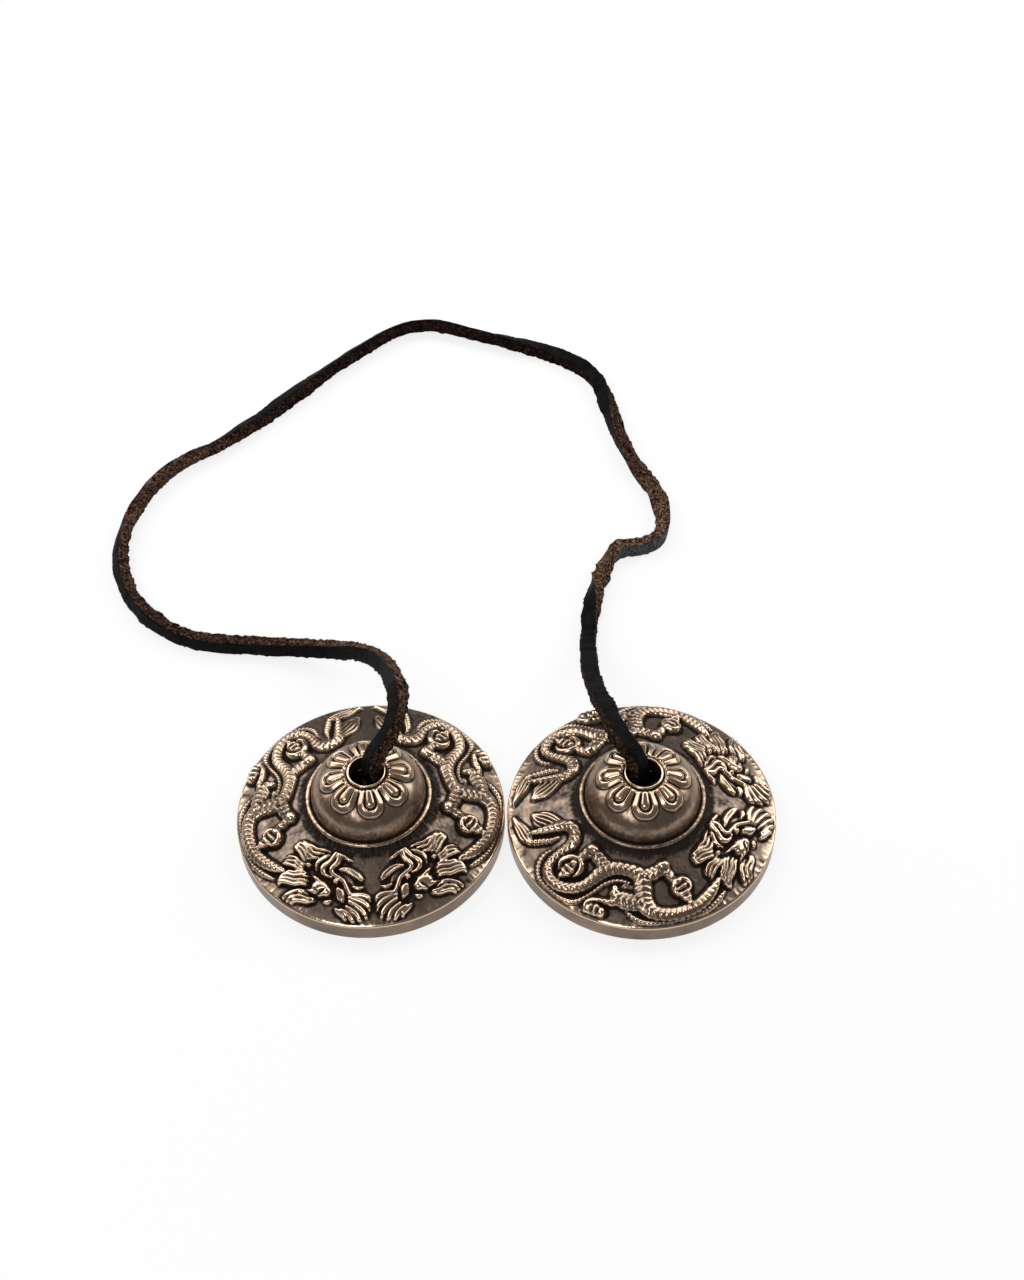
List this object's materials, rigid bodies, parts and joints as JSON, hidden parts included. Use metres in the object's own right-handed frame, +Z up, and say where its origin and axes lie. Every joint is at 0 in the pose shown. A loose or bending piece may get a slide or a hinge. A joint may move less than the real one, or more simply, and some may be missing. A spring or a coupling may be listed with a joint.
{
  "type": "tingsha cymbals",
  "caption": "Pair of cast bronze tingsha hand cymbals with dragon relief, knotted to the ends of one dark leather thong and lying rim down with the thong looped behind.",
  "frame": {"origin": "on the table, midway between the two cymbals as they lie rim to rim", "axes": "+X from the left cymbal to the right one, +Y towards the thong's loop, +Z up along the bores"},
  "size_m": [0.1744, 0.2136, 0.0325],
  "materials": {
    "bronze": "cast, dark patina in the hollows, polished on the relief",
    "leather": "black grain face, raw brown suede on the cut sides and back"
  },
  "bodies": {
    "tied_ends": {"knot_left": "leather", "knot_right": "leather", "thong_left_end": "leather", "thong_right_end": "leather"},
    "left_cymbal": {"cymbal_left": "bronze"},
    "right_cymbal": {"cymbal_right": "bronze"},
    "loop": {"thong_loop": "leather", "thong_left_rise": "leather", "thong_right_rise": "leather"}
  },
  "joints": [
    {"name": "left_spin", "type": "hinge", "parent": "tied_ends", "child": "left_cymbal", "pos_m": [-0.0328, 0, 0.022], "axis": [0, 0, 1], "continuous": true},
    {"name": "right_spin", "type": "hinge", "parent": "tied_ends", "child": "right_cymbal", "pos_m": [0.0328, 0, 0.022], "axis": [0, 0, 1], "continuous": true},
    {"name": "loop_lift", "type": "hinge", "parent": "tied_ends", "child": "loop", "pos_m": [0, 0, 0.022], "axis": [1, 0, 0], "range_deg": [0, 90], "deforming": ["thong_left_rise", "thong_right_rise"]}
  ]
}
